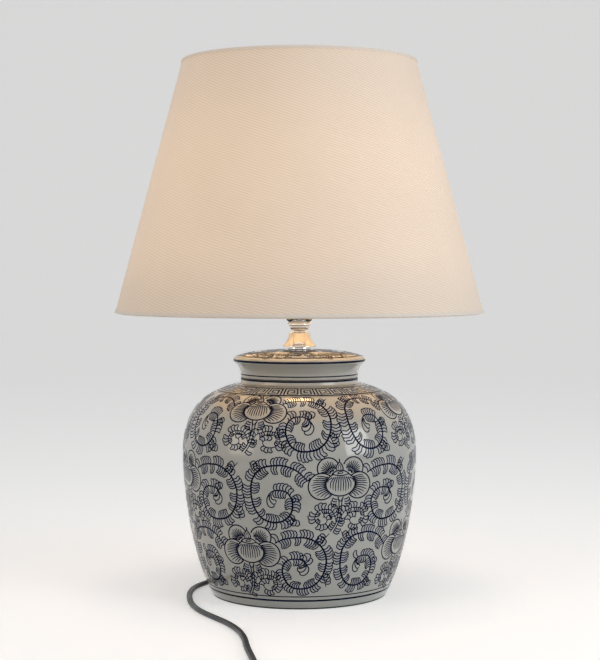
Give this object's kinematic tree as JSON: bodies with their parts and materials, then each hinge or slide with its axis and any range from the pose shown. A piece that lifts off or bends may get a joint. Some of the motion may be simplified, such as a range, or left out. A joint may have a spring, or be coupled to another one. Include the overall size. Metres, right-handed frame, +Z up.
{
  "type": "table lamp",
  "caption": "Table lamp: lidded porcelain ginger jar with blue flower scrolls, chrome column, cone shade, bulb holder, bulb, and mains cord with switch and plug.",
  "frame": {"origin": "on the lamp axis, at the underside of the foot pad, on the table", "axes": "+Z up along the lamp axis, -Y towards the viewer of the picture, +X to the right, cord leaves the jar at +Y"},
  "size_m": [0.3999, 0.7015, 0.578],
  "materials": {
    "porcelain": "glazed white porcelain with blue painting",
    "chrome": "polished",
    "plated_steel": "zinc plated",
    "felt": "felt",
    "gasket_rubber": "matte",
    "holder_plastic": "moulded",
    "holder_insert": "moulded",
    "brass": "plain",
    "bulb_glass": "frosted",
    "bulb_metal": "rolled",
    "bulb_insulator": "glassy black",
    "filament": "coated",
    "shade_cloth": "satin twill",
    "shade_lining": "white film",
    "shade_frame": "white coated",
    "cord_sheath": "smooth",
    "core_copper": "copper",
    "black_plastic": "moulded",
    "pin_metal": "nickel plated",
    "tie": "hook strip"
  },
  "bodies": {
    "root": {"bell_cap": "chrome", "bell_spacer": "plated_steel", "centre_contact": "brass", "check_ring": "chrome", "clamp_bar": "plated_steel", "clamp_nut": "plated_steel", "clamp_washer": "plated_steel", "coil_tie": "tie", "cord_coil": "cord_sheath", "cord_end": "cord_sheath", "cord_grommet": "cord_sheath", "cord_lead": "cord_sheath", "cord_tail": "cord_sheath", "foot_pad": "felt", "holder_base": "holder_insert", "holder_cup": "chrome", "holder_nut": "plated_steel", "holder_skirt": "holder_plastic", "inner_lead": "cord_sheath", "jar_body": "porcelain", "jar_lid": "porcelain", "lead_cores": "core_copper", "lid_gasket": "gasket_rubber", "lock_nut": "plated_steel", "lower_ring": "chrome", "plug_body": "black_plastic", "plug_pins": "pin_metal", "plug_relief": "cord_sheath", "side_contact": "brass", "switch_base": "black_plastic", "switch_contacts": "brass", "switch_cover": "black_plastic", "switch_screws": "plated_steel", "terminal_blocks": "brass", "terminal_screws": "plated_steel", "threaded_tube": "plated_steel", "upper_ring": "chrome"},
    "shade": {"shade_cover": "shade_cloth", "shade_liner": "shade_lining", "bottom_hem": "shade_cloth", "top_hem": "shade_cloth", "bottom_wire": "shade_frame", "top_wire": "shade_frame", "fitter_ring": "shade_frame", "carrier_arm_1": "shade_frame", "carrier_arm_2": "shade_frame", "carrier_arm_3": "shade_frame"},
    "shade_ring": {"shade_ring": "holder_plastic"},
    "bulb": {"bulb_glass": "bulb_glass", "bulb_cap": "bulb_metal", "bulb_insulator": "bulb_insulator", "bulb_contact": "brass", "bulb_stem": "bulb_glass", "bulb_filaments": "filament"},
    "rocker": {"switch_rocker": "black_plastic", "rocker_pin": "plated_steel"}
  },
  "joints": [
    {"name": "shade_turn", "type": "hinge", "parent": "root", "child": "shade", "pos_m": [0, 0, 0.322], "axis": [0, 0, 1], "continuous": true},
    {"name": "shade_ring_turn", "type": "hinge", "parent": "root", "child": "shade_ring", "pos_m": [0, 0, 0.328], "axis": [0, 0, 1], "continuous": true},
    {"name": "bulb_slide", "type": "slide", "parent": "root", "child": "bulb", "axis": [0, 0, 1], "range_m": [0, 0.3]},
    {"name": "switch_rock", "type": "hinge", "parent": "root", "child": "rocker", "pos_m": [-0.036, -0.418, 0.0115], "axis": [1, 0, 0], "range_deg": [-14, 0]}
  ]
}
